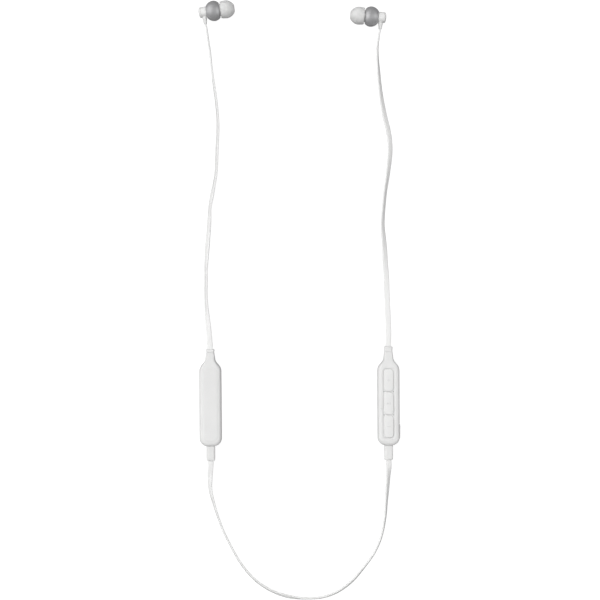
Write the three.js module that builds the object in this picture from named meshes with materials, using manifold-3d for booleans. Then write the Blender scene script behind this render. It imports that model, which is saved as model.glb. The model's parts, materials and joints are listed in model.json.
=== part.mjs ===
// Neckband earphones lying on their back: two earbuds, two leads, a battery pod,
// a remote pod and the cord that runs behind the neck between the pods.
// Millimetres. +Z up from the table, +Y towards the earbuds, +X towards the remote pod.

import * as THREE from 'three';
import { mergeVertices } from 'three/addons/utils/BufferGeometryUtils.js';
import Module from 'manifold-3d';

const wasm = await Module();
wasm.setup();

// ---------------------------------------------------------------- driving dimensions

// Clearance kept between neighbouring pieces.
const GAP = 0.3;

// Earbud, measured along its own axis: +X points to the ear tip, 0 is the barrel's middle.
const BARREL_RADIUS = 6.4;
const BARREL_REAR = -4.8;
const BARREL_FRONT = 3.6;
const BARREL_WALL = 0.5;
const NOZZLE_RADIUS = 2.3;
const NOZZLE_BORE = 1.7;
const NOZZLE_END = 10.0;
const TIP_RADIUS = 5.6;
const TIP_REAR = 4.2;
const TIP_FRONT = 13.2;
const TIP_BORE = 2.8;
const DRIVER_RADIUS = 4.6;
const REAR_RADIUS = 3.4;
const REAR_END = -8.3;
const REAR_BORE = 2.1;
const BUD_RELIEF_X = -6.4;
const BUD_RELIEF_END = -7.3;

// Pods: plan outline and thickness. Both pods share one outline.
const POD_HALF_WIDTH = 7.05;
const POD_HALF_LENGTH = 26.5;
const POD_THICKNESS = 8.4;
const POD_SPLIT = 4.15;
const POD_EDGE = 1.7;
const POD_WALL = 1.0;
const POD_BOTTOM_RADIUS = 5.1;
const SHOULDER_Y = 20.8;
const NECK_ROOT_Y = 29.0;
const NECK_END_Y = 33.2;
const NECK_HALF_WIDTH = 2.6;
const NECK_TAPER_Y = 26.5;
const NECK_END_THICKNESS = 4.2;

// Pod strain reliefs.
const RELIEF_HALF_WIDTH = 2.7;
const RELIEF_THICKNESS = 3.6;
const STEM_HALF_WIDTH = 1.8;
const STEM_HALF_THICKNESS = 1.15;
const ANCHOR_HALF_WIDTH = 4.0;

// Keys: three in one window, evenly spaced.
const KEY_PITCH = 14.7;
const KEY_HALF_WIDTH = 3.1;
const KEY_LENGTH = 14.4;
const KEY_MIDDLE_Y = 0.4;
const KEY_RADIUS = 2.3;
const KEY_TOP = 8.9;
const FLANGE_BOTTOM = 6.5;
const FLANGE_TOP = 7.0;
const FLANGE_HALF_WIDTH = 3.8;

// Circuit board and what stands on it.
const BOARD_BOTTOM = 3.2;
const BOARD_TOP = 4.0;
const BOARD_HALF_WIDTH = 5.6;
const BOARD_HALF_LENGTH = 22.8;
const SEAT = BOARD_TOP + GAP;
const SWITCH_HALF_WIDTH = 1.6;
const SWITCH_HEIGHT = 1.0;
const ACTUATOR_RADIUS = 0.7;

// Charging port, on the remote pod's outer side.
const PORT_Y = -17.6;
const PORT_HALF_WIDTH = 3.7;
const PORT_BOTTOM = 2.9;
const PORT_TOP = 5.5;
const PORT_FACE_X = 6.4;
const PORT_DEPTH = 4.4;
const DOOR_INNER_X = 6.75;
const DOOR_OUTER_X = 7.35;
const DOOR_BOTTOM_Y = -22.1;
const DOOR_TOP_Y = -13.2;

// Flat cable.
const CABLE_WIDTH = 3.4;
const CABLE_THICKNESS = 1.2;
const CABLE_STEP = 8.1;

// Where each sub-assembly lies. Tilts are in degrees, anticlockwise seen from above.
const LEFT_BUD = { x: -54.1, y: 139.85, tilt: 7.5 };
const RIGHT_BUD = { x: 45.75, y: 136.2, tilt: 4.5 };
const BATTERY_POD = { x: -56.35, y: -110.6, tilt: 0.5 };
const REMOTE_POD = { x: 57.05, y: -110.0, tilt: 0.3 };

// Cable routes: x, y, z and the roll in degrees, 0 lying flat and 90 standing on edge.
const LEFT_LEAD = [
  [-59.45, 131.45, 6.4, 90],
  [-58.95, 129.6, 6.2, 90],
  [-57.75, 121.4, 4.3, 90],
  [-56.75, 114, 2.6, 90],
  [-56, 106.5, 1.8, 88],
  [-55.05, 98.8, 1.76, 84],
  [-54.05, 91.1, 1.74, 72],
  [-53, 83.5, 1.73, 70],
  [-52.2, 75.8, 1.73, 70],
  [-51.8, 68.1, 1.7, 67],
  [-51.95, 60.5, 1.68, 64],
  [-52.4, 52.8, 1.67, 63],
  [-52.6, 45.1, 1.68, 64],
  [-53, 37.5, 1.68, 64],
  [-54.2, 29.8, 1.66, 62],
  [-55.7, 22.1, 1.5, 50],
  [-56.95, 14.5, 1.66, 62],
  [-57.3, 6.8, 1.48, 48],
  [-57.8, -0.9, 1.42, 45],
  [-58.4, -8.5, 1.4, 42],
  [-59, -16.2, 1.42, 45],
  [-59.35, -23.9, 1.62, 58],
  [-59.35, -31.5, 1.64, 60],
  [-59.45, -39.2, 1.64, 60],
  [-59.2, -46.9, 1.58, 55],
  [-58.55, -54.5, 1.4, 38],
  [-57.75, -62.2, 2.3, 15],
  [-56.95, -69.5, 3.75, 0],
  [-56.66, -75, 4.15, 0],
];
const RIGHT_LEAD = [
  [51.57, 127.85, 6.4, -90],
  [50.95, 124, 5.4, -88],
  [50.1, 117.7, 3.4, -80],
  [50.2, 110.2, 2.1, -72],
  [50.8, 102.6, 1.75, -62],
  [51.5, 95, 1.62, -56],
  [52.4, 87.3, 1.52, -50],
  [53.7, 79.6, 1.42, -42],
  [55.2, 72, 1.33, -35],
  [57.1, 64.3, 1.3, -32],
  [58.15, 56.6, 1.3, -32],
  [58.2, 49, 1.33, -35],
  [57.4, 41.3, 1.42, -42],
  [56.4, 33.6, 1.52, -50],
  [55.2, 26, 1.58, -54],
  [54.4, 18.3, 1.6, -55],
  [53.75, 10.6, 1.55, -52],
  [53.5, 3, 1.5, -48],
  [54.2, -4.7, 1.38, -38],
  [54.85, -12.4, 1.26, -30],
  [55.2, -20, 1.1, -20],
  [55.85, -27.7, 0.9, -10],
  [56.2, -38, 0.7, 0],
  [56.6, -48, 0.7, 0],
  [57, -57, 1.4, 0],
  [57.1, -65, 3.1, 0],
  [57, -70.2, 3.95, 0],
  [56.86, -73.2, 4.15, 0],
];
const NECK_CORD = [
  [-56.04, -146.7, 4.15, 0],
  [-56.2, -150.3, 3.9, 0],
  [-56.6, -154.4, 3, 5],
  [-56.85, -159.3, 2, 35],
  [-56.7, -164.4, 1.5, 50],
  [-55.7, -169.6, 1.65, 60],
  [-54.2, -174.7, 1.73, 70],
  [-51.9, -182.1, 1.76, 78],
  [-47.9, -192.4, 1.76, 80],
  [-43, -202.2, 1.76, 80],
  [-37.2, -212.2, 1.75, 75],
  [-28.6, -222.3, 1.7, 68],
  [-18.3, -229.4, 1.66, 62],
  [-7.4, -233.3, 1.55, 52],
  [4.65, -234.7, 1.75, 75],
  [16, -233.7, 1.73, 70],
  [25.2, -230.1, 1.7, 66],
  [33.7, -223.8, 1.68, 65],
  [41.6, -214.7, 1.73, 72],
  [48.2, -205.5, 1.75, 76],
  [52.5, -195.6, 1.75, 76],
  [54.95, -183.6, 1.74, 72],
  [55.9, -172, 1.66, 64],
  [56.65, -163, 1.5, 50],
  [57.1, -156, 2.2, 45],
  [57.4, -150.3, 3.6, 15],
  [57.24, -146.1, 4.15, 0],
];

// ---------------------------------------------------------------- materials

function material(color, roughness, metalness) {
  return new THREE.MeshStandardMaterial({ color, roughness, metalness });
}

const WHITE_PLASTIC = [0xe9e9e8, 0.42, 0];
const WHITE_RUBBER = [0xe6e6e5, 0.6, 0];
const SILICONE = [0xd9dadb, 0.35, 0];
const SATIN_METAL = [0xa6a7a9, 0.35, 0.9];
const STEEL = [0xb4b6b8, 0.3, 1];
const BLACK_PLASTIC = [0x1c1d1f, 0.5, 0];
const COPPER = [0xb87345, 0.4, 1];
const FILM = [0xcfc8b8, 0.3, 0];
const BOARD_MASK = [0x14402b, 0.5, 0];
const POUCH = [0xc2c5c9, 0.3, 0.8];
const FOAM = [0x3a3b3e, 0.95, 0];
const CLEAR_PLASTIC = [0xf2f4f5, 0.15, 0];

// ---------------------------------------------------------------- geometry helpers

// A manifold-3d solid from a closed three.js geometry.
function solid(geometry) {
  const bare = geometry.clone();
  bare.deleteAttribute('normal');
  bare.deleteAttribute('uv');
  const merged = mergeVertices(bare, 1e-4);
  const mesh = new wasm.Mesh({
    numProp: 3,
    vertProperties: new Float32Array(merged.attributes.position.array),
    triVerts: new Uint32Array(merged.index.array),
  });
  return new wasm.Manifold(mesh);
}

// A three.js geometry from a manifold-3d solid.
function geometryOf(body) {
  const mesh = body.getMesh();
  const geometry = new THREE.BufferGeometry();
  geometry.setAttribute('position', new THREE.BufferAttribute(mesh.vertProperties, 3));
  geometry.setIndex(new THREE.BufferAttribute(mesh.triVerts, 1));
  geometry.computeVertexNormals();
  return geometry;
}

// A box given by its two ends along each axis.
function box(x0, x1, y0, y1, z0, z1) {
  const geometry = new THREE.BoxGeometry(x1 - x0, y1 - y0, z1 - z0);
  return geometry.translate((x0 + x1) / 2, (y0 + y1) / 2, (z0 + z1) / 2);
}

// An upright cylinder.
function post(radius, x, y, z0, z1, sides = 12) {
  const geometry = new THREE.CylinderGeometry(radius, radius, z1 - z0, sides);
  return geometry.rotateX(Math.PI / 2).translate(x, y, (z0 + z1) / 2);
}

// A plan outline raised between two heights, its edges rounded by `edge`.
function slab(shape, z0, z1, edge = 0, edgeSteps = 2, curveSegments = 3) {
  const geometry = new THREE.ExtrudeGeometry(shape, {
    depth: z1 - z0 - 2 * edge,
    bevelEnabled: edge > 0,
    bevelThickness: edge,
    bevelSize: edge,
    bevelOffset: -edge,
    bevelSegments: edgeSteps,
    curveSegments,
  });
  return geometry.translate(0, 0, z0 + edge);
}

// A profile of [axial, radial] points turned about the earbud's axis, +X.
// A profile that stays off the axis is closed on itself, and either order will do.
function turned(profile, sides) {
  const points = profile.map(([axial, radial]) => new THREE.Vector2(radial, axial));
  if (THREE.ShapeUtils.area(points) < 0) {
    points.reverse();
  }
  if (points[0].x > 0) {
    points.push(points[0].clone());
  }
  return new THREE.LatheGeometry(points, sides).rotateZ(-Math.PI / 2);
}

// A rectangle with rounded corners.
function roundedRectangle(x0, x1, y0, y1, radius) {
  const shape = new THREE.Shape();
  shape.absarc(x0 + radius, y0 + radius, radius, Math.PI, 1.5 * Math.PI);
  shape.absarc(x1 - radius, y0 + radius, radius, 1.5 * Math.PI, 2 * Math.PI);
  shape.absarc(x1 - radius, y1 - radius, radius, 0, 0.5 * Math.PI);
  shape.absarc(x0 + radius, y1 - radius, radius, 0.5 * Math.PI, Math.PI);
  return shape;
}

function part(name, geometry, look) {
  const mesh = new THREE.Mesh(geometry, material(...look));
  mesh.name = name;
  return mesh;
}

// ---------------------------------------------------------------- earbud

// The barrel swells in the middle: two quarter ellipses, the front one shorter.
function barrelRadius(axial) {
  const reach = axial < 0 ? 5.85 : 5.3;
  return BARREL_RADIUS * Math.sqrt(1 - (axial / reach) ** 2);
}

function barrel() {
  const rearWallInner = BARREL_REAR + 0.6;
  const rearHole = 2.95;
  const stations = [BARREL_REAR, -4.2, -3.2, -1.7, 0, 1.4, 2.6, BARREL_FRONT];
  const profile = stations.map((axial) => [axial, barrelRadius(axial)]);
  const innerStations = [BARREL_FRONT, 2.8, 1.4, 0, -2.4, rearWallInner];
  innerStations.forEach((axial) => profile.push([axial, barrelRadius(axial) - BARREL_WALL]));
  profile.push([rearWallInner, rearHole]);
  profile.push([BARREL_REAR, rearHole]);
  return turned(profile, 24);
}

function nozzleCap() {
  const plugRadius = 3.9;
  const flange = BARREL_FRONT + GAP;
  return turned([
    [3.0, plugRadius],
    [flange, plugRadius],
    [flange, 4.45],
    [flange + 0.3, 4.4],
    [6.2, NOZZLE_RADIUS],
    [9.1, NOZZLE_RADIUS],
    [9.3, NOZZLE_RADIUS + 0.2],
    [NOZZLE_END, NOZZLE_RADIUS],
    [NOZZLE_END, NOZZLE_BORE],
    [6.0, NOZZLE_BORE],
    [4.2, plugRadius - 0.6],
    [3.0, plugRadius - 0.6],
  ], 18);
}

function nozzleScreen() {
  return turned([[9.3, 0], [9.3, NOZZLE_BORE - 0.15], [9.6, NOZZLE_BORE - 0.15], [9.6, 0]], 16);
}

// A tube that grips the nozzle, and a domed skirt folded back from its mouth.
function earTip() {
  const tube = TIP_BORE + 0.7;
  const tubeRear = 6.5;
  const mouth = 1.6;
  return turned([
    [tubeRear, TIP_BORE],
    [10.6, TIP_BORE],
    [12.2, mouth],
    [TIP_FRONT, mouth],
    [TIP_FRONT, mouth + 0.3],
    [12.8, 2.4],
    [12.3, 3.2],
    [11.5, 4.2],
    [10.4, 5.05],
    [9.2, 5.5],
    [8.0, TIP_RADIUS],
    [7.0, TIP_RADIUS],
    [5.5, 5.45],
    [TIP_REAR + 0.3, 5.3],
    [TIP_REAR, 5.05],
    [TIP_REAR + 0.05, 4.8],
    [5.5, 5.0],
    [8.2, 5.15],
    [9.8, 4.75],
    [10.9, 3.9],
    [10.6, tube],
    [tubeRear, tube],
  ], 24);
}

function driverBasket() {
  return turned([
    [-0.3, 1.0],
    [0.2, 1.0],
    [0.2, DRIVER_RADIUS - 0.5],
    [2.7, DRIVER_RADIUS - 0.5],
    [2.7, DRIVER_RADIUS],
    [-0.3, DRIVER_RADIUS],
  ], 18);
}

function driverMagnet() {
  return turned([[0.5, 0], [0.5, 2.9], [1.7, 2.9], [1.7, 0]], 16);
}

function voiceCoil() {
  return turned([[0.8, 3.2], [1.9, 3.2], [1.9, 3.5], [0.8, 3.5]], 16);
}

function diaphragm() {
  return turned([
    [2.2, 3.8],
    [2.2, 3.3],
    [2.45, 2.2],
    [2.55, 0],
    [2.7, 0],
    [2.6, 2.2],
    [2.35, 3.35],
    [2.35, 3.8],
  ], 16);
}

// A short white tube behind the barrel, open at the side where the lead goes in.
function rearHousing() {
  const neck = 2.65;
  const body = solid(turned([
    [-3.8, REAR_BORE],
    [-3.8, neck],
    [BARREL_REAR - GAP, neck],
    [BARREL_REAR - GAP, REAR_RADIUS - 0.2],
    [BARREL_REAR - GAP - 0.2, REAR_RADIUS],
    [REAR_END, REAR_RADIUS],
    [REAR_END, REAR_BORE],
  ], 20));
  const halfHole = 1.1;
  const hole = solid(box(BUD_RELIEF_X - halfHole, BUD_RELIEF_X + halfHole, -5, -1, -1.7, 1.7));
  return geometryOf(body.subtract(hole));
}

function rearCap() {
  const seat = REAR_END - GAP;
  const plug = REAR_BORE - GAP;
  return turned([
    [seat + 0.6, 0],
    [seat + 0.6, plug],
    [seat, plug],
    [seat, REAR_RADIUS],
    [seat - 0.4, REAR_RADIUS],
    [seat - 0.8, REAR_RADIUS - 0.6],
    [seat - 1.05, 2.0],
    [seat - 1.15, 0],
  ], 20);
}

// A soft boot that tapers to the flat lead, which leaves it standing on edge.
function budRelief() {
  const shoulder = -REAR_RADIUS - GAP;
  const stem = solid(box(-0.8, 0.8, shoulder - 0.5, -2.7, -1.4, 1.4));
  const outline = new THREE.Shape();
  outline.moveTo(-1.4, shoulder);
  outline.lineTo(-0.95, BUD_RELIEF_END);
  outline.lineTo(0.95, BUD_RELIEF_END);
  outline.lineTo(1.4, shoulder);
  const boot = solid(slab(outline, -1.9, 1.9));
  return geometryOf(boot.add(stem)).translate(BUD_RELIEF_X, 0, 0);
}

function earbud(side, place) {
  const group = new THREE.Group();
  group.add(part(`${side}_ear_tip`, earTip(), SILICONE));
  group.add(part(`${side}_nozzle_cap`, nozzleCap(), WHITE_PLASTIC));
  group.add(part(`${side}_nozzle_screen`, nozzleScreen(), STEEL));
  group.add(part(`${side}_barrel`, barrel(), SATIN_METAL));
  group.add(part(`${side}_driver_basket`, driverBasket(), STEEL));
  group.add(part(`${side}_driver_magnet`, driverMagnet(), STEEL));
  group.add(part(`${side}_voice_coil`, voiceCoil(), COPPER));
  group.add(part(`${side}_diaphragm`, diaphragm(), FILM));
  group.add(part(`${side}_rear_housing`, rearHousing(), WHITE_PLASTIC));
  group.add(part(`${side}_rear_cap`, rearCap(), WHITE_PLASTIC));
  group.add(part(`${side}_bud_relief`, budRelief(), WHITE_RUBBER));
  // The right earbud is the same assembly turned half way round, so its tip points left.
  const turn = side === 'right' ? Math.PI : 0;
  group.rotation.set(0, turn, THREE.MathUtils.degToRad(place.tilt));
  group.position.set(place.x, place.y, BARREL_RADIUS);
  return group;
}

// ---------------------------------------------------------------- pods

// Plan outline: shoulders that flow into a long tapering neck at the top, round corners below.
function podOutline() {
  const w = POD_HALF_WIDTH;
  const bottom = -POD_HALF_LENGTH + POD_BOTTOM_RADIUS;
  const corner = w - POD_BOTTOM_RADIUS;
  const neckRoot = NECK_HALF_WIDTH + 0.5;
  const shape = new THREE.Shape();
  shape.absarc(-corner, bottom, POD_BOTTOM_RADIUS, Math.PI, 1.5 * Math.PI);
  shape.absarc(corner, bottom, POD_BOTTOM_RADIUS, 1.5 * Math.PI, 2 * Math.PI);
  shape.lineTo(w, SHOULDER_Y);
  shape.bezierCurveTo(w, 25.3, 3.45, 25.85, neckRoot, NECK_ROOT_Y);
  shape.lineTo(NECK_HALF_WIDTH, NECK_END_Y);
  shape.lineTo(-NECK_HALF_WIDTH, NECK_END_Y);
  shape.lineTo(-neckRoot, NECK_ROOT_Y);
  shape.bezierCurveTo(-3.45, 25.85, -w, 25.3, -w, SHOULDER_Y);
  return shape;
}

// The two wedges that thin the neck towards its end, above and below.
function neckWedges() {
  const drop = (POD_THICKNESS - NECK_END_THICKNESS) / 2;
  const slope = Math.atan2(drop, NECK_END_Y - NECK_TAPER_Y);
  const above = box(-10, 10, 0, 12, 0, 5).rotateX(-slope).translate(0, NECK_TAPER_Y, POD_THICKNESS);
  const below = box(-10, 10, 0, 12, -5, 0).rotateX(slope).translate(0, NECK_TAPER_Y, 0);
  return solid(above).add(solid(below));
}

// The pod as one solid lump, hollowed, with a hole at each end for its strain reliefs.
function hollowPod() {
  const w = POD_HALF_WIDTH - POD_WALL;
  const bottom = -POD_HALF_LENGTH + POD_WALL;
  const top = POD_HALF_LENGTH - 1.2;
  const lump = solid(slab(podOutline(), 0, POD_THICKNESS, POD_EDGE, 3, 5));
  const cavity = roundedRectangle(-w, w, bottom, top, POD_BOTTOM_RADIUS - POD_WALL);
  const hollow = solid(slab(cavity, POD_WALL, POD_THICKNESS - POD_WALL));
  const holeX = STEM_HALF_WIDTH + GAP;
  const holeZ = STEM_HALF_THICKNESS + GAP;
  const ends = solid(box(-holeX, holeX, -POD_HALF_LENGTH - 5, NECK_END_Y + 5,
    POD_SPLIT - holeZ, POD_SPLIT + holeZ));
  return lump.subtract(neckWedges()).subtract(hollow).subtract(ends);
}

function upperHalf() {
  return solid(box(-20, 20, -60, 60, POD_SPLIT + GAP / 2, 20));
}

function lowerHalf() {
  return solid(box(-20, 20, -60, 60, -20, POD_SPLIT - GAP / 2));
}

// A strain relief: an anchor inside the pod, a stem through its wall and a soft tail outside.
// `wall` and `tail` are measured along the pod from its middle.
function podRelief(inside, wall, tail) {
  const hw = RELIEF_HALF_WIDTH;
  const out = Math.sign(tail - inside);
  const anchorEnd = inside + out * 1.2;
  const anchor = roundedRectangle(-ANCHOR_HALF_WIDTH, ANCHOR_HALF_WIDTH,
    Math.min(inside, anchorEnd), Math.max(inside, anchorEnd), 0.3);
  const stemEnd = wall + out * 0.6;
  const stem = box(-STEM_HALF_WIDTH, STEM_HALF_WIDTH,
    Math.min(inside, stemEnd), Math.max(inside, stemEnd),
    POD_SPLIT - STEM_HALF_THICKNESS, POD_SPLIT + STEM_HALF_THICKNESS);
  const tailShape = roundedRectangle(-hw, hw, Math.min(wall, tail), Math.max(wall, tail), 0.6);
  const half = RELIEF_THICKNESS / 2;
  const plate = solid(slab(anchor, POD_SPLIT - STEM_HALF_THICKNESS, POD_SPLIT + STEM_HALF_THICKNESS));
  const soft = solid(slab(tailShape, POD_SPLIT - half, POD_SPLIT + half, 0.5, 1, 1));
  return geometryOf(plate.add(solid(stem)).add(soft));
}

function placePod(group, place) {
  group.position.set(place.x, place.y, 0);
  group.rotation.z = THREE.MathUtils.degToRad(place.tilt);
  return group;
}

// The faces of both pods that their reliefs' tails stand off from.
const UPPER_FACE = NECK_END_Y + GAP;
const LOWER_FACE = -POD_HALF_LENGTH - GAP;

function batteryPod() {
  const cellHalfWidth = 5.1;
  const cellHalfLength = 17;
  const boardY = 19.8;
  const group = new THREE.Group();
  const body = hollowPod();
  group.add(part('battery_cover', geometryOf(body.intersect(upperHalf())), WHITE_PLASTIC));
  group.add(part('battery_back_shell', geometryOf(body.intersect(lowerHalf())), WHITE_PLASTIC));
  const cell = roundedRectangle(-cellHalfWidth, cellHalfWidth, -cellHalfLength, cellHalfLength, 1.2);
  group.add(part('battery_cell', slab(cell, 1.4, 5.8, 0.6, 1, 1), POUCH));
  const foam = box(-4, 4, -12, 12, 6.2, 7.0);
  group.add(part('battery_foam_pad', foam, FOAM));
  const board = box(-4.4, 4.4, boardY - 2.2, boardY + 2.2, 1.4, 2.2);
  group.add(part('protection_board', board, BOARD_MASK));
  group.add(part('battery_upper_relief', podRelief(23.4, UPPER_FACE, 35.3), WHITE_RUBBER));
  group.add(part('battery_lower_relief', podRelief(-23.4, LOWER_FACE, -35.8), WHITE_RUBBER));
  return placePod(group, BATTERY_POD);
}

function keyCentre(row) {
  return KEY_MIDDLE_Y + (1 - row) * KEY_PITCH;
}

function remoteCover() {
  const halfRun = KEY_PITCH + KEY_LENGTH / 2 + GAP;
  const halfWidth = KEY_HALF_WIDTH + GAP;
  const window = roundedRectangle(-halfWidth, halfWidth,
    KEY_MIDDLE_Y - halfRun, KEY_MIDDLE_Y + halfRun, KEY_RADIUS + GAP);
  const guideHole = solid(post(0.7, -4.9, -3.2, 6, 10));
  const micHole = solid(new THREE.CylinderGeometry(0.45, 0.45, 4, 10)
    .rotateZ(Math.PI / 2).translate(-POD_HALF_WIDTH, -7.5, 5.3));
  return hollowPod().intersect(upperHalf())
    .subtract(solid(slab(window, 6, 10)))
    .subtract(guideHole)
    .subtract(micHole)
    .subtract(portCut());
}

// The charging port's opening through the wall, and the shallow seat of its door round it.
function portCut() {
  const seat = solid(box(DOOR_INNER_X - GAP, 9, DOOR_BOTTOM_Y - 0.4, DOOR_TOP_Y + 0.4, 1.9, 6.5));
  const opening = solid(box(5, 9, PORT_Y - PORT_HALF_WIDTH - GAP, PORT_Y + PORT_HALF_WIDTH + GAP,
    PORT_BOTTOM - GAP, PORT_TOP + GAP));
  return seat.add(opening);
}

function key(row) {
  const y = keyCentre(row);
  const half = KEY_LENGTH / 2;
  const cap = roundedRectangle(-KEY_HALF_WIDTH, KEY_HALF_WIDTH, y - half, y + half, KEY_RADIUS);
  const flange = box(-FLANGE_HALF_WIDTH, FLANGE_HALF_WIDTH, y - half, y + half,
    FLANGE_BOTTOM, FLANGE_TOP);
  const capSolid = solid(slab(cap, FLANGE_BOTTOM, KEY_TOP, 0.7, 2, 2));
  return geometryOf(capSolid.add(solid(flange)));
}

// The lower switch sits to one side, clear of the charging socket.
function switchX(row) {
  return row === 2 ? -1.5 : 0;
}

function tactSwitch(row) {
  const x = switchX(row);
  const y = keyCentre(row);
  const w = SWITCH_HALF_WIDTH;
  const body = solid(box(x - w, x + w, y - w, y + w, SEAT, SEAT + SWITCH_HEIGHT));
  const well = solid(post(ACTUATOR_RADIUS + GAP, x, y, SEAT + 0.25, SEAT + 2));
  return geometryOf(body.subtract(well));
}

function actuator(row) {
  return post(ACTUATOR_RADIUS, switchX(row), keyCentre(row), SEAT + 0.6, FLANGE_BOTTOM - GAP);
}

function circuitBoard() {
  const outline = roundedRectangle(-BOARD_HALF_WIDTH, BOARD_HALF_WIDTH,
    -BOARD_HALF_LENGTH, BOARD_HALF_LENGTH, 3.4);
  const board = solid(slab(outline, BOARD_BOTTOM, BOARD_TOP));
  const notch = solid(box(PORT_FACE_X - PORT_DEPTH - GAP, 8,
    PORT_Y - PORT_HALF_WIDTH - GAP, PORT_Y + PORT_HALF_WIDTH + GAP, 0, 8));
  return geometryOf(board.subtract(notch));
}

function usbShell() {
  const wall = 0.3;
  const y0 = PORT_Y - PORT_HALF_WIDTH;
  const y1 = PORT_Y + PORT_HALF_WIDTH;
  const rear = PORT_FACE_X - PORT_DEPTH;
  const shell = solid(box(rear, PORT_FACE_X, y0, y1, PORT_BOTTOM, PORT_TOP));
  const mouth = solid(box(rear + wall, PORT_FACE_X + 1, y0 + wall, y1 - wall,
    PORT_BOTTOM + wall, PORT_TOP - wall));
  return geometryOf(shell.subtract(mouth));
}

function usbTongue() {
  const rear = PORT_FACE_X - PORT_DEPTH + 2 * GAP;
  return box(rear, rear + 2.4, PORT_Y - 2.4, PORT_Y + 2.4, 3.7, 4.4);
}

// A flap that covers the port, with a plug on its inside that fits the socket's mouth.
function portDoor() {
  const panel = roundedRectangle(2.1, 6.3, DOOR_BOTTOM_Y, DOOR_TOP_Y, 1.0);
  const flap = slab(panel, DOOR_INNER_X, DOOR_OUTER_X, 0.2, 1, 1);
  // The outline is drawn with height as its first axis, then turned to face along +X.
  const turn = new THREE.Matrix4().makeBasis(
    new THREE.Vector3(0, 0, 1), new THREE.Vector3(0, 1, 0), new THREE.Vector3(-1, 0, 0));
  flap.applyMatrix4(turn).translate(DOOR_INNER_X + DOOR_OUTER_X, 0, 0);
  const plug = box(5.6, DOOR_INNER_X + 0.2, PORT_Y - 2.9, PORT_Y + 2.8, 3.6, 4.8);
  return geometryOf(solid(flap).add(solid(plug)));
}

function remotePod() {
  const group = new THREE.Group();
  const names = ['volume_up', 'play', 'volume_down'];
  group.add(part('remote_cover', geometryOf(remoteCover()), WHITE_PLASTIC));
  const back = hollowPod().intersect(lowerHalf()).subtract(portCut());
  group.add(part('remote_back_shell', geometryOf(back), WHITE_PLASTIC));
  names.forEach((name, row) => {
    group.add(part(`${name}_key`, key(row), WHITE_PLASTIC));
    group.add(part(`${name}_actuator`, actuator(row), BLACK_PLASTIC));
    group.add(part(`${name}_switch`, tactSwitch(row), STEEL));
  });
  group.add(part('circuit_board', circuitBoard(), BOARD_MASK));
  group.add(part('usb_shell', usbShell(), STEEL));
  group.add(part('usb_tongue', usbTongue(), BLACK_PLASTIC));
  group.add(part('port_door', portDoor(), WHITE_RUBBER));
  group.add(part('radio_chip', box(-2.5, 2.5, 5.4, 10.4, SEAT, SEAT + 0.8), BLACK_PLASTIC));
  group.add(part('antenna_chip', box(-1.6, 1.6, 19.9, 21.5, SEAT, SEAT + 1.2), CLEAR_PLASTIC));
  group.add(part('microphone', box(-5.5, -3.3, -9.0, -6.0, SEAT, SEAT + 1.0), STEEL));
  group.add(part('status_led', box(-5.3, -4.5, -4.0, -2.4, SEAT, SEAT + 0.6), CLEAR_PLASTIC));
  group.add(part('light_guide', post(0.4, -4.9, -3.2, SEAT + 0.9, POD_THICKNESS + 0.05),
    CLEAR_PLASTIC));
  group.add(part('remote_upper_relief', podRelief(23.4, UPPER_FACE, 36.5), WHITE_RUBBER));
  group.add(part('remote_lower_relief', podRelief(-23.4, LOWER_FACE, -35.8), WHITE_RUBBER));
  return placePod(group, REMOTE_POD);
}

// ---------------------------------------------------------------- cables

// A smooth route whose cross-section lies level and then rolls as the route says.
class CableRoute extends THREE.CatmullRomCurve3 {
  constructor(stations) {
    super(stations.map(([x, y, z]) => new THREE.Vector3(x, y, z)), false, 'centripetal');
    this.rolls = stations.map((station) => THREE.MathUtils.degToRad(station[3]));
  }

  rollAt(u) {
    const place = this.getUtoTmapping(u) * (this.rolls.length - 1);
    const index = Math.min(Math.floor(place), this.rolls.length - 2);
    return THREE.MathUtils.lerp(this.rolls[index], this.rolls[index + 1], place - index);
  }

  computeFrenetFrames(segments) {
    const up = new THREE.Vector3(0, 0, 1);
    const tangents = [];
    const normals = [];
    const binormals = [];
    for (let i = 0; i <= segments; i += 1) {
      const u = i / segments;
      const tangent = this.getTangentAt(u);
      const across = new THREE.Vector3().crossVectors(up, tangent).normalize();
      const normal = across.applyAxisAngle(tangent, this.rollAt(u));
      tangents.push(tangent);
      normals.push(normal);
      binormals.push(new THREE.Vector3().crossVectors(tangent, normal));
    }
    return { tangents, normals, binormals };
  }
}

// The flat cable's section: a rectangle with its corners cut, eight sides.
function cableSection() {
  const w = CABLE_WIDTH / 2;
  const t = CABLE_THICKNESS / 2;
  const cut = t * 0.6;
  const corners = [
    [w, -t + cut], [w, t - cut], [w - cut, t], [-w + cut, t],
    [-w, t - cut], [-w, -t + cut], [-w + cut, -t], [w - cut, -t],
  ];
  return new THREE.Shape(corners.map(([x, y]) => new THREE.Vector2(x, y)));
}

function cable(name, stations) {
  const route = new CableRoute(stations);
  const steps = Math.round(route.getLength() / CABLE_STEP);
  const geometry = new THREE.ExtrudeGeometry(cableSection(), { steps, extrudePath: route });
  return part(name, geometry, WHITE_RUBBER);
}

// ---------------------------------------------------------------- the whole object

const earphones = new THREE.Group();
earphones.name = 'neckband_earphones';
earphones.add(earbud('left', LEFT_BUD));
earphones.add(earbud('right', RIGHT_BUD));
earphones.add(batteryPod());
earphones.add(remotePod());
earphones.add(cable('left_lead', LEFT_LEAD));
earphones.add(cable('right_lead', RIGHT_LEAD));
earphones.add(cable('neck_cord', NECK_CORD));

export default earphones;
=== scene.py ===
import json
import math

import bmesh
import bpy
from mathutils import Matrix, Vector


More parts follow.
